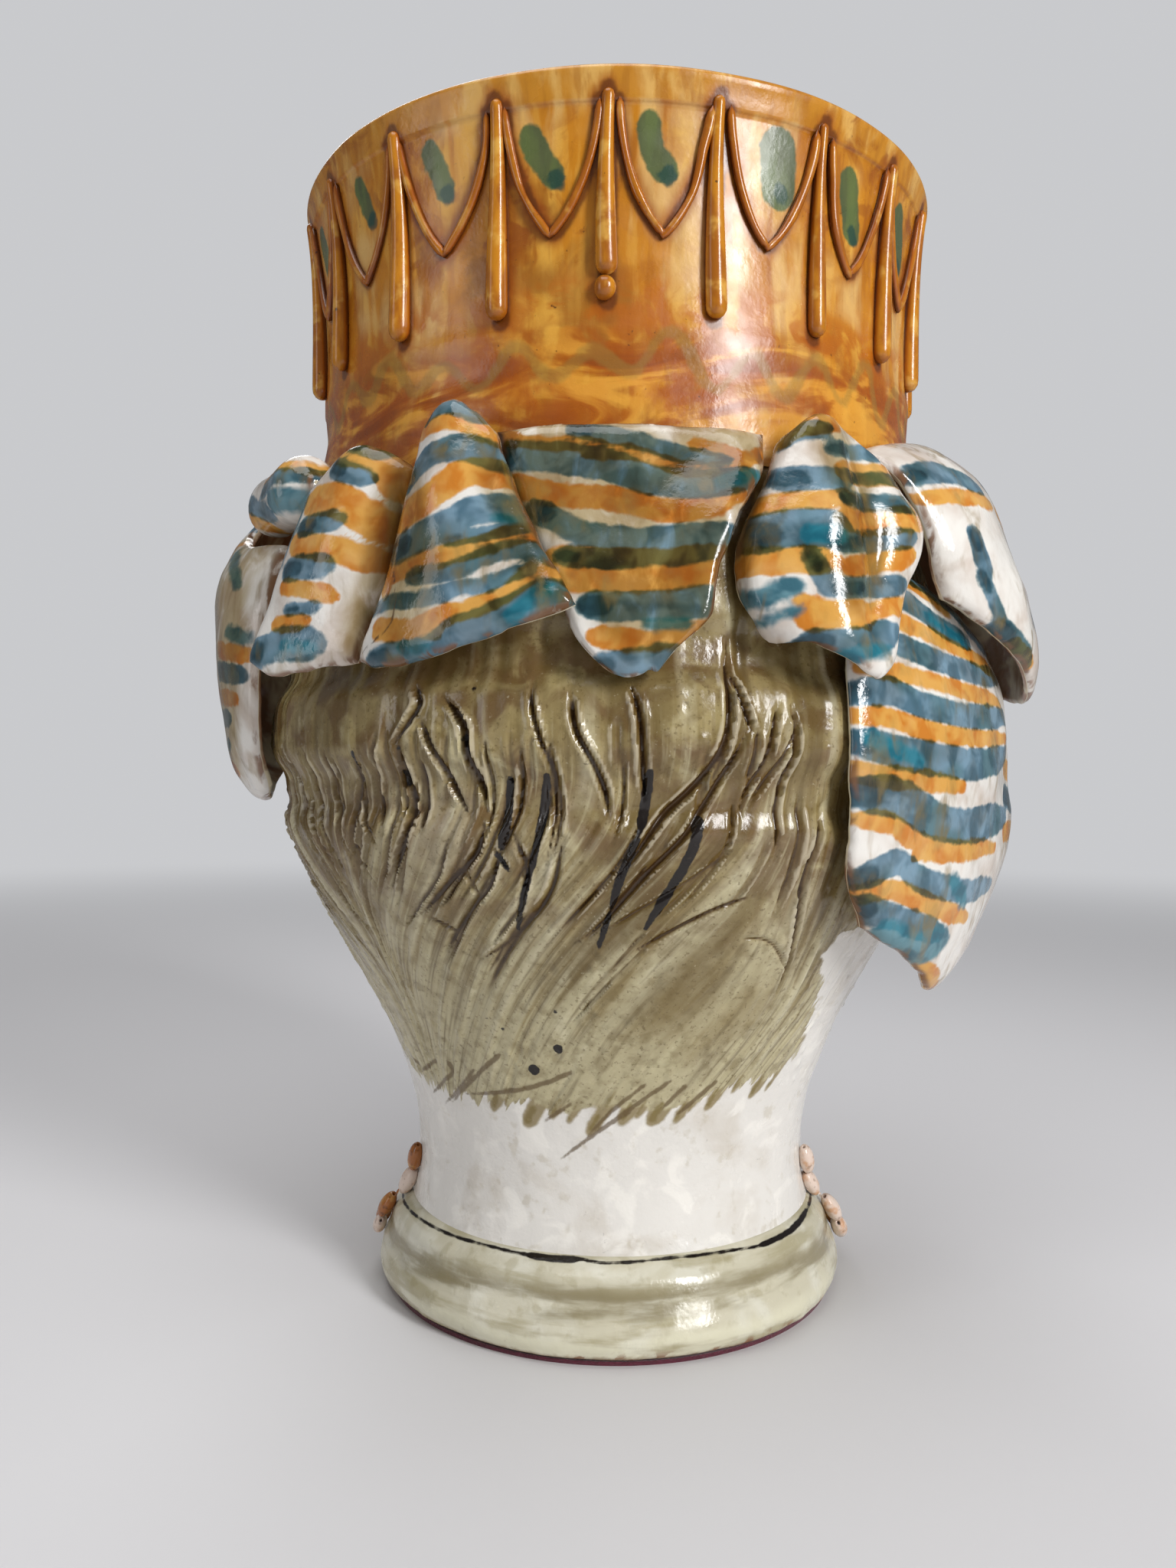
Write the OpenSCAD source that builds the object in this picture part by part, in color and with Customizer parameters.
// Head vase: a thrown clay head on a neck and foot, with a tall crown, applied coils and a draped slab scarf.
// Millimetres. Z is up, and the origin is on the axis at the underside of the felt.
// The face looks along -Y. Angles round the vase start at the back of the head, +Y, and grow towards -X.

/* [Foot and neck] */
// Thickness of the felt pad under the foot
felt_t = 1.2; // [1:0.1:2]
// Distance that the felt stays inside the widest part of the foot
felt_inset = 3.5; // [2:0.5:6]
// Height of the foot ring above the felt
foot_h = 26.8; // [24:0.4:30]
// Diameter where the foot ring meets the neck
root_d = 134; // [132:1:150]
// Distance that the foot ring stands out past the root of the neck
foot_reach = 11; // [8:0.5:14]
// Thickness of the clay disc that closes the foot
floor_t = 8; // [6:0.5:10]
// Height of the neck between the foot ring and the head
neck_h = 32; // [28:1:36]
// Narrowest diameter of the neck
neck_d = 129; // [124:1:131]

/* [Head] */
// Height of the head from the neck to the seat of the crown
head_h = 190; // [180:1:200]
// Widest diameter of the head
head_d = 227; // [220:1:234]
// Wall of the thrown body, the same all the way up
wall = 7; // [5:0.5:9]
// Height of the chin above the foot of the head
chin_rise = 26; // [22:1:30]
// Height of the face from the chin to the edge of the scarf
face_h = 130; // [122:1:134]

/* [Crown] */
// Height of the crown above its seat on the head
crown_h = 100; // [90:1:110]
// Diameter of the crown at its waist
waist_d = 193; // [188:1:198]
// Diameter of the crown at its rim
rim_d = 204; // [200:1:210]
// Height of the plain band below the rim
lip_h = 9; // [7:0.5:11]
// Distance that the plain band stands out
lip_out = 0.8; // [0.4:0.1:1.2]
// Thickness of the coil of each hanging loop
loop_coil_d = 2.4; // [2:0.1:3]
// Depth of each hanging loop from the plain band to its point
loop_drop = 31; // [26:1:36]
// Length of each applied drop
drop_l = 53; // [46:1:56]
// Diameter of a drop at its upper end
drop_top_d = 3.3; // [2.6:0.1:3.8]
// Diameter of a drop at its lower end
drop_end_d = 5.7; // [4.8:0.1:6.4]
// Diameter of the single pellet under the shortened drop
pellet_d = 5.6; // [4.6:0.2:6.2]

/* [Scarf] */
// Thickness of the rolled clay slab
slab_t = 4.5; // [4:0.1:5]
// Radius of the bore of the rolled corner
roll_bore_r = 5.6; // [4.6:0.2:6.4]

/* [Applied pieces] */
// Gap between an applied piece and what it lies on
seat_gap = 0.4; // [0.3:0.05:0.6]
// Diameter of a bead of the necklace
bead_d = 9; // [8:0.2:10]
// Clear space between neighbouring beads
bead_gap = 0.5; // [0.4:0.1:1]

/* [Hidden] */
$fn = 96;
foot_z = felt_t + foot_h;
neck_top_z = foot_z + neck_h;
head_top_z = neck_top_z + head_h;
vase_h = head_top_z + crown_h;

root_r = root_d / 2;
foot_r = root_r + foot_reach;
neck_r = neck_d / 2;
head_r = head_d / 2;
waist_r = waist_d / 2;
rim_r = rim_d / 2;
coil_r = loop_coil_d / 2;
bead_r = bead_d / 2;

// Heights of the widest head, as a share of the head, and of the crown's waist and flare, as shares of the crown
temple_share = 0.62;
waist_share = 0.2;
flare_share = 0.4;
throat_z = foot_z + neck_h / 2;
temple_z = neck_top_z + temple_share * head_h;
waist_z = head_top_z + waist_share * crown_h;
flare_z = head_top_z + flare_share * crown_h;
lip_z = vase_h - lip_h;
chin_z = neck_top_z + chin_rise;

// Steps of the turned outlines
outline_steps = 26;

clay_white = "#e6e0d8";
clay_foot = "#d8d2b0";
hair_olive = "#a89b6e";
crown_amber = "#d0902f";
coil_amber = "#b5651d";
scarf_blue = "#5e86a8";
scarf_white = "#e8e4e4";
scarf_orange = "#d9a04a";
felt_red = "#6b1030";

function mix(a, b, t) = a + (b - a) * t;
function clamp01(t) = min(max(t, 0), 1);
function ease(t) = (1 - cos(180 * clamp01(t))) / 2;

// Outer radius of the thrown body at height z, from the root of the neck to the rim
function shell_r(z) =
    z < throat_z ? neck_r + (root_r - neck_r) * pow((throat_z - z) / (throat_z - foot_z), 2)
    : z < temple_z ? mix(neck_r, head_r, ease((z - throat_z) / (temple_z - throat_z)))
    : z < waist_z ? mix(head_r, waist_r, ease((z - temple_z) / (waist_z - temple_z)))
    : waist_r + (rim_r - waist_r) * pow(max(0, (z - flare_z) / (vase_h - flare_z)), 2);

// Outline of the foot ring: share of the foot's height, and share of the way from the root out to the widest part
foot_outline_shares = [
    [0, 0.62], [0.05, 0.84], [0.13, 0.96], [0.22, 1], [0.34, 0.95], [0.46, 0.82],
    [0.58, 0.7], [0.7, 0.62], [0.82, 0.5], [0.91, 0.28], [1, 0]
];
foot_outline = [
    for (p = foot_outline_shares) [mix(root_r, foot_r, p[1]), felt_t + p[0] * foot_h]
];
function foot_r_at(z) = lookup(z, [for (p = foot_outline) [p[1], p[0]]]);
function body_r(z) = z < foot_z ? foot_r_at(z) : shell_r(z);

// Point at an angle round the vase, a height and a radius
function place(a, z, r) = [-r * sin(a), r * cos(a), z];

// Outline of a turned wall between two heights
function turned_outline(z0, z1) = concat(
    [for (k = [0:outline_steps]) let (z = mix(z0, z1, k / outline_steps)) [shell_r(z), z]],
    [for (k = [outline_steps:-1:0]) let (z = mix(z0, z1, k / outline_steps)) [shell_r(z) - wall, z]]
);

// Triangles of a grid of points, rows by columns, that starts at a given point number
function grid_faces(rows, cols, start, flip) = [
    for (i = [0:rows - 2], j = [0:cols - 2], half = [0, 1])
        let (
            a = start + i * cols + j,
            b = a + 1,
            c = a + cols,
            d = c + 1,
            f = half == 0 ? [a, c, b] : [b, c, d]
        )
        flip ? [f[0], f[2], f[1]] : f
];

// Triangles of the strip between two rims of equal length, given as lists of point numbers
function strip_faces(p, q) = [
    for (k = [0:len(p) - 2], half = [0, 1])
        half == 0 ? [p[k], q[k], p[k + 1]] : [p[k + 1], q[k], q[k + 1]]
];

module felt_pad() {
    color(felt_red)
        cylinder(h = felt_t, r = foot_r - felt_inset);
}

module base_floor() {
    color(clay_foot)
        translate([0, 0, felt_t])
            cylinder(h = floor_t, r = root_r - wall - seat_gap);
}

module base_collar() {
    color(clay_foot)
        rotate_extrude()
            polygon(concat(foot_outline, [[root_r - wall, foot_z], [root_r - wall, felt_t]]));
}

module neck_wall() {
    color(clay_white)
        rotate_extrude()
            polygon(turned_outline(foot_z, neck_top_z));
}

// The back half of the head carries the hair. It stands on the neck and meets the face half in the plane Y = 0.
module hair_half() {
    color(hair_olive)
        rotate_extrude(angle = 180)
            polygon(turned_outline(neck_top_z, head_top_z));
}

// Forms of the face, each a soft mound: distance from the middle, height above the chin, half width,
// half height and how far it stands out, all as shares of the height of the face
face_form_shares = [
    [0, 0.13, 0.36, 0.2, 0.13],
    [0, 0.05, 0.14, 0.085, 0.125],
    [0, 0.25, 0.17, 0.11, 0.065],
    [0.3, 0.41, 0.18, 0.14, 0.055],
    [0, 0.285, 0.1, 0.022, 0.034],
    [0, 0.222, 0.085, 0.026, 0.04],
    [0.078, 0.37, 0.042, 0.036, 0.07],
    [0.235, 0.61, 0.14, 0.085, -0.08],
    [0.24, 0.592, 0.1, 0.05, 0.08],
    [0.21, 0.7, 0.17, 0.05, 0.05],
    [0, 0.9, 0.4, 0.25, 0.03]
];
// The nose: its base, tip, bridge and root above the chin, then its reach, and its width at the tip and bridge
nose_shares = [0.325, 0.375, 0.6, 0.7, 0.185, 0.07, 0.05];

function mound(u, v, m) = m[4] * exp(-pow((abs(u) - m[0]) / m[2], 2) - pow((v - m[1]) / m[3], 2));
function nose(u, v) =
    let (
        s = nose_shares,
        w = mix(s[5], s[6], clamp01((v - s[1]) / (s[2] - s[1]))),
        rise = ease((v - s[0]) / (s[1] - s[0])),
        slope = mix(1, 0.3, clamp01((v - s[1]) / (s[2] - s[1]))),
        root = 1 - ease((v - s[2]) / (s[3] - s[2]))
    )
    s[4] * rise * slope * root * exp(-pow(u / w, 2));
// The relief dies out towards the seams at both sides, at the foot of the head and at its top
side_fade = 0.5;
foot_fade = 0.7 * chin_rise;
top_fade = 4 * wall;
function face_relief(a, z) =
    let (
        u = shell_r(z) * sin(a - 180) / face_h,
        v = (z - chin_z) / face_h,
        side = ease(-cos(a) / side_fade),
        foot = ease((z - neck_top_z) / foot_fade),
        top = ease((head_top_z - z) / top_fade)
    )
    face_h * side * foot * top * (nose(u, v) + face_sum(u, v, 0));
function face_sum(u, v, k) =
    k == len(face_form_shares) ? 0 : mound(u, v, face_form_shares[k]) + face_sum(u, v, k + 1);

// Rows and columns of the face: close together over the features, wide apart elsewhere
feature_top_z = chin_z + 0.76 * face_h;
feature_angle = 36;
row_z = concat(
    [for (k = [0:4]) mix(neck_top_z, chin_z, k / 5)],
    [for (k = [0:34]) mix(chin_z, feature_top_z, k / 35)],
    [for (k = [0:6]) mix(feature_top_z, head_top_z, k / 6)]
);
col_a = concat(
    [for (k = [0:5]) mix(90, 180 - feature_angle, k / 6)],
    [for (k = [0:38]) mix(180 - feature_angle, 180 + feature_angle, k / 39)],
    [for (k = [0:6]) mix(180 + feature_angle, 270, k / 6)]
);
// The rows and columns that the inside of the face keeps, by their numbers
row_index = [0, 5, 12, 19, 26, 33, 40, 43, 46];
col_index = [0, 2, 4, 6, 15, 25, 35, 45, 47, 49, 51];

module face_half() {
    rows = len(row_z);
    cols = len(col_a);
    start = rows * cols;
    in_cols = len(col_index);
    last_row = len(row_index) - 1;
    outside = [for (z = row_z, a = col_a) place(a, z, shell_r(z) + face_relief(a, z))];
    inside = [
        for (i = row_index, j = col_index) place(col_a[j], row_z[i], shell_r(row_z[i]) - wall)
    ];
    foot_rim = rim_faces([for (j = [0:cols - 1]) j], col_index, [for (j = [0:in_cols - 1]) start + j]);
    top_rim = rim_faces(
        [for (j = [0:cols - 1]) (rows - 1) * cols + j],
        col_index,
        [for (j = [0:in_cols - 1]) start + last_row * in_cols + j]
    );
    seam_a = rim_faces(
        [for (i = [0:rows - 1]) i * cols],
        row_index,
        [for (i = [0:last_row]) start + i * in_cols]
    );
    seam_b = rim_faces(
        [for (i = [0:rows - 1]) i * cols + cols - 1],
        row_index,
        [for (i = [0:last_row]) start + i * in_cols + in_cols - 1]
    );
    color(clay_white)
        polyhedron(
            points = concat(outside, inside),
            faces = concat(
                grid_faces(rows, cols, 0, false),
                grid_faces(len(row_index), in_cols, start, true),
                foot_rim,
                turned(top_rim),
                turned(seam_a),
                seam_b
            ),
            convexity = 8
        );
}

// Triangles between a finely divided rim and a coarse one that has points only at the listed places
function rim_faces(fine, at, coarse) = concat(
    [
        for (k = [0:len(at) - 2], j = [at[k]:at[k + 1] - 1])
            [fine[j], fine[j + 1], coarse[k]]
    ],
    [for (k = [0:len(at) - 2]) [fine[at[k + 1]], coarse[k + 1], coarse[k]]]
);
function turned(faces) = [for (f = faces) [f[0], f[2], f[1]]];

module crown_wall() {
    edge = wall / 4;
    rise = [for (k = [0:outline_steps]) mix(head_top_z, lip_z, k / outline_steps)];
    outer = concat(
        [for (z = rise) [shell_r(z), z]],
        [
            [shell_r(lip_z) + lip_out, lip_z],
            [rim_r + lip_out, vase_h - edge],
            [rim_r + lip_out - edge, vase_h],
            [rim_r - wall + edge, vase_h],
            [rim_r - wall, vase_h - edge]
        ]
    );
    inner = [for (k = [outline_steps:-1:0]) [shell_r(rise[k]) - wall, rise[k]]];
    color(crown_amber)
        rotate_extrude()
            polygon(concat(outer, inner));
}

// Angles of the applied drops: seven set by hand at the back, the others spread over the rest of the turn
hand_angles = [-58, -38.6, -19.5, -2.3, 14.5, 33, 51];
drop_n = 20;
last_hand = len(hand_angles) - 1;
function drop_angle(i) =
    i <= last_hand ? hand_angles[i]
    : mix(hand_angles[last_hand], hand_angles[0] + 360, (i - last_hand) / (drop_n - last_hand));

// The drop that ends short, what it leaves out as a share of the pellet under it, and the top of all drops
short_drop_n = 3;
pellet_room = 1.7;
drop_top_z = lip_z - seat_gap;

module crown_drop(i) {
    top_r = drop_top_d / 2;
    end_r = drop_end_d / 2;
    middle_r = mix(end_r, top_r, 0.8);
    length = i == short_drop_n ? drop_l - pellet_room * pellet_d : drop_l;
    top_y = shell_r(drop_top_z) + seat_gap + top_r;
    end_y = shell_r(drop_top_z - length + end_r) + seat_gap + end_r;
    tilt = atan((top_y - end_y) / length);
    end_arc = [for (t = [-90:15:0]) [end_r * cos(t), end_r * (1 + sin(t))]];
    color(coil_amber)
        rotate([0, 0, drop_angle(i)]) {
            translate([0, end_y, drop_top_z - length])
                rotate([-tilt, 0, 0])
                    rotate_extrude()
                        polygon(concat(
                            end_arc,
                            [[middle_r, length / 2], [top_r, length - top_r]],
                            [[top_r / 2, length], [0, length]]
                        ));
            if (i == short_drop_n) {
                pellet_z = drop_top_z - length - pellet_d / 2 - seat_gap;
                translate([0, shell_r(pellet_z) + seat_gap + pellet_d / 2, pellet_z])
                    sphere(d = pellet_d);
            }
        }
}

// A round coil swept along a path that lies on the crown
loop_rings = 12;
coil_sides = 6;

module swept_coil(path, r) {
    n = len(path);
    points = [
        for (k = [0:n - 1])
            let (
                t = path[min(k + 1, n - 1)] - path[max(k - 1, 0)],
                along = t / norm(t),
                out = [path[k][0], path[k][1], 0] / norm([path[k][0], path[k][1]]),
                side = cross(along, out),
                up = cross(side, along) / norm(cross(side, along))
            )
            for (s = [0:coil_sides - 1])
                path[k] + r * (cos(360 * s / coil_sides) * up + sin(360 * s / coil_sides) * side / norm(side))
    ];
    sides = [
        for (k = [0:n - 2], s = [0:coil_sides - 1], half = [0, 1])
            let (
                a = k * coil_sides + s,
                b = k * coil_sides + (s + 1) % coil_sides
            )
            half == 0 ? [a, a + coil_sides, b] : [b, a + coil_sides, b + coil_sides]
    ];
    end = (n - 1) * coil_sides;
    caps = [
        for (s = [1:coil_sides - 2], half = [0, 1])
            half == 0 ? [0, s, s + 1] : [end, end + s + 1, end + s]
    ];
    polyhedron(points = points, faces = concat(sides, caps), convexity = 4);
}

// Each loop hangs from beside one drop to beside the next, with upright ends and a point in the middle
point_share = 0.45;
module crown_loop(i) {
    beside = (drop_top_d / 2 + coil_r + seat_gap) / rim_r * 180 / PI;
    a0 = drop_angle(i) + beside;
    a1 = (i == drop_n - 1 ? drop_angle(0) + 360 : drop_angle(i + 1)) - beside;
    top_z = lip_z - seat_gap - coil_r;
    path = [
        for (k = [-loop_rings / 2:loop_rings / 2])
            let (
                turn = 180 * k / loop_rings,
                s = sin(turn),
                lift = mix(1 - cos(turn), abs(s), point_share),
                z = top_z - loop_drop * (1 - lift)
            )
            place(mix(a0, a1, (1 + s) / 2), z, shell_r(z) + seat_gap + coil_r)
    ];
    color(coil_amber)
        swept_coil(path, coil_r);
}

// A value between four neighbours on a smooth curve, and a point of a net of such curves
function spline(p, q, r, s, t) =
    q + 0.5 * t * (r - p + t * (2 * p - 5 * q + 4 * r - s + t * (3 * (q - r) + s - p)));
function along(row, s) =
    let (
        n = len(row) - 1,
        k = min(floor(s * n), n - 1)
    )
    spline(row[max(k - 1, 0)], row[k], row[k + 1], row[min(k + 2, n)], s * n - k);
function net_at(net, s, t) = along([for (row = net) along(row, s)], t);

// A row of a net holds, from left to right, the angle, the height as a share of the height of the head's top,
// and the stand-off as a share of the slab's thickness
function drape(q) = place(q[0], q[1] * head_top_z, shell_r(q[1] * head_top_z) + seat_gap + max(q[2], 0) * slab_t);

// A slab of even thickness that lies over a net. It grows outwards in the upright plane through the axis, so
// neighbours that are apart in angle stay apart whatever the thickness is.
module draped_slab(net, cols, rows) {
    under = [for (i = [0:rows], j = [0:cols]) drape(net_at(net, j / cols, i / rows))];
    over = [for (i = [0:rows], j = [0:cols]) under[i * (cols + 1) + j] + slab_step(under, i, j, rows, cols)];
    width = cols + 1;
    start = len(under);
    top = [for (j = [0:cols]) j];
    bottom = [for (j = [0:cols]) rows * width + j];
    left = [for (i = [0:rows]) i * width];
    right = [for (i = [0:rows]) i * width + cols];
    polyhedron(
        points = concat(under, over),
        faces = concat(
            grid_faces(rows + 1, width, start, true),
            grid_faces(rows + 1, width, 0, false),
            strip_faces(shifted(top, start), top),
            turned(strip_faces(shifted(bottom, start), bottom)),
            turned(strip_faces(shifted(left, start), left)),
            strip_faces(shifted(right, start), right)
        ),
        convexity = 8
    );
}
function shifted(list, start) = [for (p = list) p + start];

// Thickness left at the slab's edges, as a share of its full thickness
edge_share = 0.7;
// Step from the underside of the slab to its upper side at one point of the net
function slab_step(points, i, j, rows, cols) =
    let (
        w = cols + 1,
        across = points[i * w + min(j + 1, cols)] - points[i * w + max(j - 1, 0)],
        down = points[min(i + 1, rows) * w + j] - points[max(i - 1, 0) * w + j],
        n = cross(down, across),
        unit_n = n / norm(n),
        here = points[i * w + j],
        tangent = [-here[1], here[0], 0] / norm([here[0], here[1]]),
        flat = unit_n - (unit_n * tangent) * tangent,
        edge = (i == 0 || i == rows || j == 0 || j == cols) ? edge_share : 1
    )
    edge * slab_t / max(norm(flat), edge_share) * flat / norm(flat);

back_panel_shares = [
    [[-18.5, 1.026, 0.1], [-9, 1.03, 0.1], [0, 1.03, 0.1], [11, 1.028, 0.1], [21.5, 1.022, 0.4]],
    [[-17, 0.984, 0], [-8, 0.984, 0.25], [0, 0.984, 0.3], [9.5, 0.984, 0.5], [18.8, 0.98, 1.6]],
    [[-12.5, 0.92, 0], [-6, 0.92, 0.3], [0, 0.92, 0.45], [7.5, 0.922, 0.9], [14.6, 0.928, 2]],
    [[-8.5, 0.852, 0], [-4.5, 0.852, 0.4], [0, 0.852, 0.7], [6, 0.854, 1], [11.2, 0.862, 1.9]],
    [[-6, 0.808, 0.1], [-3, 0.808, 0.5], [0, 0.806, 0.8], [5, 0.812, 1], [10, 0.822, 1.4]],
    [[-2.5, 0.775, 0.4], [-1, 0.768, 0.5], [0.5, 0.765, 0.6], [2.5, 0.77, 0.7], [4.8, 0.785, 0.8]]
];
left_ridge_shares = [
    [[-31, 1.01, 0.1], [-27.6, 1.04, 1.2], [-24, 1.054, 2.2], [-20.5, 1.04, 1.9], [-17.6, 1.008, 1.35]],
    [[-31.5, 0.96, 0.1], [-28.5, 0.966, 1.8], [-24, 0.968, 3], [-19, 0.964, 2.4], [-14.5, 0.957, 1.4]],
    [[-32.5, 0.9, 0.1], [-28.5, 0.904, 1.7], [-23, 0.908, 2.6], [-17, 0.91, 2.1], [-11.5, 0.914, 1.4]],
    [[-34, 0.84, 0.2], [-29, 0.842, 1.4], [-23, 0.845, 2], [-16, 0.855, 1.8], [-8.5, 0.87, 1.5]],
    [[-35.5, 0.785, 0.5], [-30, 0.778, 1.2], [-22, 0.79, 1.7], [-13, 0.812, 1.8], [-5.5, 0.832, 1.7]]
];
left_flap_shares = [
    [[-50, 0.98, 2.2], [-46, 1.004, 2.4], [-41, 1.022, 2.2], [-36.5, 1.014, 1.3], [-32.4, 0.996, 0]],
    [[-51.5, 0.92, 2.6], [-47, 0.925, 2.8], [-42, 0.93, 2.5], [-37, 0.935, 1.3], [-33, 0.94, 0]],
    [[-52.5, 0.85, 2.7], [-48, 0.855, 2.5], [-43, 0.86, 1.9], [-38.5, 0.865, 1.1], [-34.2, 0.87, 0]],
    [[-54.5, 0.79, 2.9], [-50, 0.776, 2.2], [-46, 0.78, 1.5], [-41, 0.785, 0.9], [-36.6, 0.787, 0.6]]
];
left_tail_shares = [
    [[-103, 1.035, 0.4], [-96, 1.03, 1.8], [-88, 1.012, 3.8], [-81, 0.965, 4.2], [-74, 0.945, 3], [-67, 0.94, 1.2]],
    [[-103.5, 0.93, 1.8], [-96, 0.925, 4], [-88, 0.92, 5], [-81, 0.915, 4.9], [-74, 0.91, 3.8], [-66, 0.91, 1.6]],
    [[-103.5, 0.85, 1.4], [-96, 0.84, 3.2], [-88, 0.84, 4.1], [-81, 0.84, 4], [-73, 0.84, 3.2], [-65, 0.84, 1.6]],
    [[-102, 0.77, 1], [-95, 0.76, 2], [-88, 0.76, 2.8], [-81, 0.76, 2.8], [-74, 0.76, 2.2], [-66, 0.76, 1]],
    [[-99, 0.71, 0.8], [-93, 0.7, 1.4], [-87, 0.69, 1.8], [-81, 0.685, 1.8], [-75, 0.688, 1.4], [-68, 0.69, 0.5]],
    [[-96, 0.68, 0.3], [-91, 0.66, 0.4], [-86, 0.648, 0.4], [-81, 0.64, 0.4], [-76, 0.645, 0.3], [-71, 0.655, 0.1]]
];
right_gather_shares = [
    [[22.8, 1, 0.8], [25.2, 1.032, 1.8], [28.5, 1.046, 2.3], [32, 1.036, 2], [36.5, 1.02, 1.8], [41, 1, 1.6]],
    [[19.8, 0.955, 0.6], [23, 0.96, 2], [28, 0.965, 3.2], [32.5, 0.965, 2.4], [38, 0.965, 2.9], [43, 0.965, 1.8]],
    [[16, 0.9, 0.2], [20.6, 0.905, 1.9], [27, 0.91, 3.2], [33, 0.915, 2.3], [39, 0.925, 3.2], [46, 0.935, 2.2]],
    [[15.6, 0.85, 0.2], [20.4, 0.85, 1.8], [27, 0.855, 3.1], [31.5, 0.86, 2.2], [35, 0.865, 2.6], [39, 0.87, 1.9]],
    [[19, 0.828, 0.5], [22.5, 0.805, 1.6], [26.5, 0.79, 2.6], [29.5, 0.775, 2.6], [31.5, 0.772, 2.4], [34, 0.785, 2]]
];
right_shoulder_shares = [
    [[43.5, 1.03, 0], [57, 1.05, 0], [70, 1.052, 0], [84, 1.05, 0], [95, 1.045, 0], [103, 1.04, 0]],
    [[45, 1.01, 1.8], [58, 1.04, 2], [70, 1.045, 2.2], [84, 1.043, 2.4], [96, 1.035, 2.2], [103.5, 1.02, 1.4]],
    [[47, 0.98, 2.5], [58, 1, 3.8], [70, 1.008, 4.4], [84, 1.008, 4.7], [96, 1, 4], [103.5, 0.98, 2.4]],
    [[48.5, 0.945, 2.5], [58, 0.94, 4.2], [70, 0.93, 5], [84, 0.925, 5.3], [96, 0.925, 4.4], [103.5, 0.93, 2.7]],
    [[50, 0.905, 2.2], [59, 0.88, 4], [70, 0.86, 5], [84, 0.85, 5.3], [95, 0.855, 4.4], [102, 0.87, 2.7]],
    [[52, 0.87, 1.9], [61, 0.835, 3.4], [71, 0.8, 4.4], [82, 0.77, 4.7], [92, 0.785, 3.9], [100, 0.82, 2.6]]
];
right_tail_shares = [
    [[33, 0.885, 0], [42, 0.9, 0], [52, 0.888, 0.2], [62, 0.86, 0.8], [72, 0.83, 1.5], [81, 0.8, 2]],
    [[32.3, 0.79, 0], [42, 0.79, 0.1], [52, 0.785, 0.4], [62, 0.78, 1.1], [72, 0.775, 1.8], [81, 0.77, 2.3]],
    [[32, 0.69, 0.1], [42, 0.685, 0.3], [52, 0.68, 0.8], [62, 0.675, 1.5], [72, 0.67, 2.2], [80, 0.665, 2.7]],
    [[32.6, 0.62, 0.4], [43, 0.615, 0.8], [53, 0.61, 1.4], [63, 0.605, 2.2], [74, 0.605, 3.2], [88, 0.62, 4.6]],
    [[34, 0.555, 1.1], [44, 0.54, 2], [54, 0.53, 2.8], [63, 0.525, 3.5], [72, 0.53, 4], [80, 0.545, 4.4]],
    [[37.5, 0.505, 2], [46, 0.475, 3.2], [54, 0.445, 4], [60, 0.42, 4.6], [66, 0.425, 4.8], [72, 0.45, 4.8]]
];
// Half of an ear: the angles are those of the ear on the -X side
ear_shares = [
    [[101, 0.63, 0.9], [103.5, 0.637, 1.1], [106, 0.639, 1], [108.5, 0.636, 0.6], [111, 0.628, 0.2]],
    [[98.6, 0.6, 0.9], [101.5, 0.602, 0.9], [105, 0.603, 0.5], [109.5, 0.602, 0.5], [113.5, 0.6, 0.1]],
    [[98.4, 0.56, 0.9], [101.5, 0.56, 0.7], [105, 0.56, 0.3], [109.5, 0.56, 0.6], [113.5, 0.56, 0.1]],
    [[100.2, 0.522, 0.8], [103, 0.52, 0.7], [106, 0.519, 0.4], [109.5, 0.52, 0.4], [112, 0.522, 0.1]],
    [[103.2, 0.492, 0.5], [104.7, 0.488, 0.7], [106.5, 0.486, 0.7], [108.5, 0.488, 0.5], [110.2, 0.492, 0.1]]
];

module back_panel() {
    color(scarf_blue)
        draped_slab(back_panel_shares, 12, 14);
}

module left_ridge() {
    color(scarf_orange)
        draped_slab(left_ridge_shares, 14, 14);
}

module left_flap() {
    color(scarf_white)
        draped_slab(left_flap_shares, 12, 12);
}

module left_tail() {
    color(scarf_blue)
        draped_slab(left_tail_shares, 14, 16);
}

module right_gather() {
    color(scarf_orange)
        draped_slab(right_gather_shares, 16, 14);
}

module right_shoulder() {
    color(scarf_white)
        draped_slab(right_shoulder_shares, 14, 14);
}

module right_tail() {
    color(scarf_blue)
        draped_slab(right_tail_shares, 14, 18);
}

// The corner of the scarf rolls up into an open tube between the flap and the tail, and its far end lifts off
roll_angles = [-80, -74, -68, -62, -56.5];
roll_lift_shares = [1.6, 0.9, 0.4, 0.1, 0];
roll_z_share = 1.008;
roll_start = 150;
roll_end = -130;
module left_roll() {
    turn_n = 10;
    centre_out = -cos(roll_start) * (roll_bore_r / slab_t + edge_share);
    net = [
        for (k = [0:turn_n])
            let (turn = mix(roll_start, roll_end, k / turn_n))
            [
                for (j = [0:len(roll_angles) - 1])
                    [
                        roll_angles[j],
                        roll_z_share + roll_bore_r * sin(turn) / head_top_z,
                        centre_out + roll_lift_shares[j] + roll_bore_r * cos(turn) / slab_t
                    ]
            ]
    ];
    color(scarf_blue)
        draped_slab(net, 6, 14);
}

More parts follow.
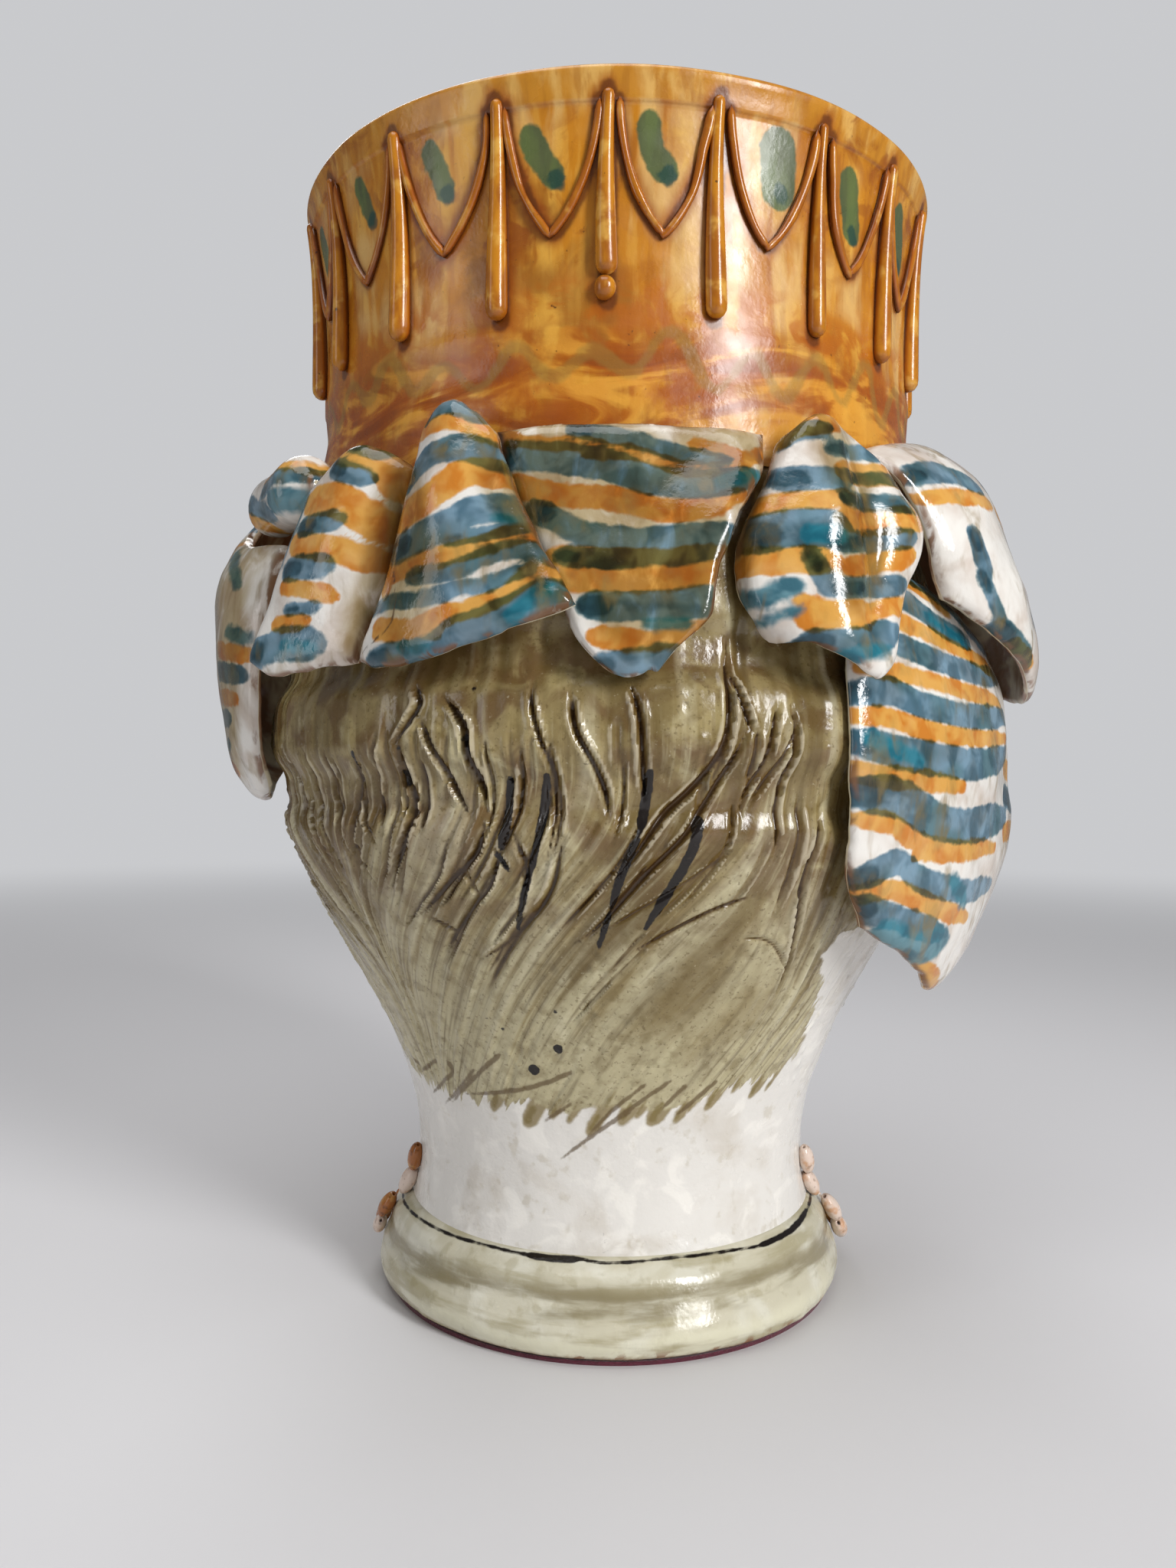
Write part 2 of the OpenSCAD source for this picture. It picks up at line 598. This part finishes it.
// The scarf lies in soft waves across the brow. Each row holds its height as a share of the height of the head's
// top, and its stand-off and the depth of its waves as shares of the slab's thickness.
front_band_shares = [[1.028, 0.2, 0], [0.995, 1.3, 0.35], [0.94, 1.7, 0.5], [0.885, 1.3, 0.4], [0.862, 0.7, 0.2]];
band_angles = [for (k = [0:16]) mix(105, 255, k / 16)];
band_waves = 9;
band_lean = 220;
edge_waves = 4;
edge_wave_share = 0.006;
module front_band() {
    net = [
        for (r = front_band_shares)
            [
                for (a = band_angles)
                    [
                        a,
                        r[0] + edge_wave_share * cos(edge_waves * a),
                        r[1] + r[2] * cos(band_waves * a + band_lean * r[0])
                    ]
            ]
    ];
    color(scarf_orange)
        draped_slab(net, 48, 8);
}

module ear_right() {
    color(clay_white)
        draped_slab(ear_shares, 8, 8);
}

module ear_left() {
    color(clay_white)
        mirror([1, 0, 0])
            draped_slab(ear_shares, 8, 8);
}

// The necklace comes down over the foot at both sides and rests on it across the front
strand_share = 0.5;
side_beads = 3;
side_angle = 76;
strand_z = felt_t + strand_share * foot_h;
strand_r = bead_seat_r(strand_z);
bead_step = 2 * asin((bead_d + bead_gap) / 2 / strand_r);
side_step = bead_step / 2;
side_rise = 0.9 * (bead_d + bead_gap);
front_start = side_angle + side_beads * side_step;
front_beads = floor((360 - 2 * front_start) / bead_step);
function bead_seat_r(z) =
    seat_gap + max([for (d = [-1:0.125:1]) body_r(z + d * bead_r) + bead_r * sqrt(1 - d * d)]);

module necklace_beads() {
    front_turn = (360 - 2 * front_start) / front_beads;
    color(scarf_orange) {
        for (k = [0:front_beads])
            translate(place(front_start + k * front_turn, strand_z, strand_r))
                sphere(r = bead_r);
        for (side = [-1, 1], k = [0:side_beads - 1]) {
            z = strand_z + (side_beads - k) * side_rise;
            translate(place(side * (side_angle + k * side_step), z, bead_seat_r(z)))
                sphere(r = bead_r);
        }
    }
}

function numbered(stem, i) = str(stem, i < 9 ? "0" : "", i + 1);

felt_pad();
base_floor();
base_collar();
neck_wall();
hair_half();
face_half();
crown_wall();
back_panel();
left_ridge();
left_flap();
left_roll();
left_tail();
right_gather();
right_shoulder();
right_tail();
front_band();
ear_left();
ear_right();
necklace_beads();
for (i = [0:drop_n - 1]) {
    crown_drop(i);
    crown_loop(i);
}
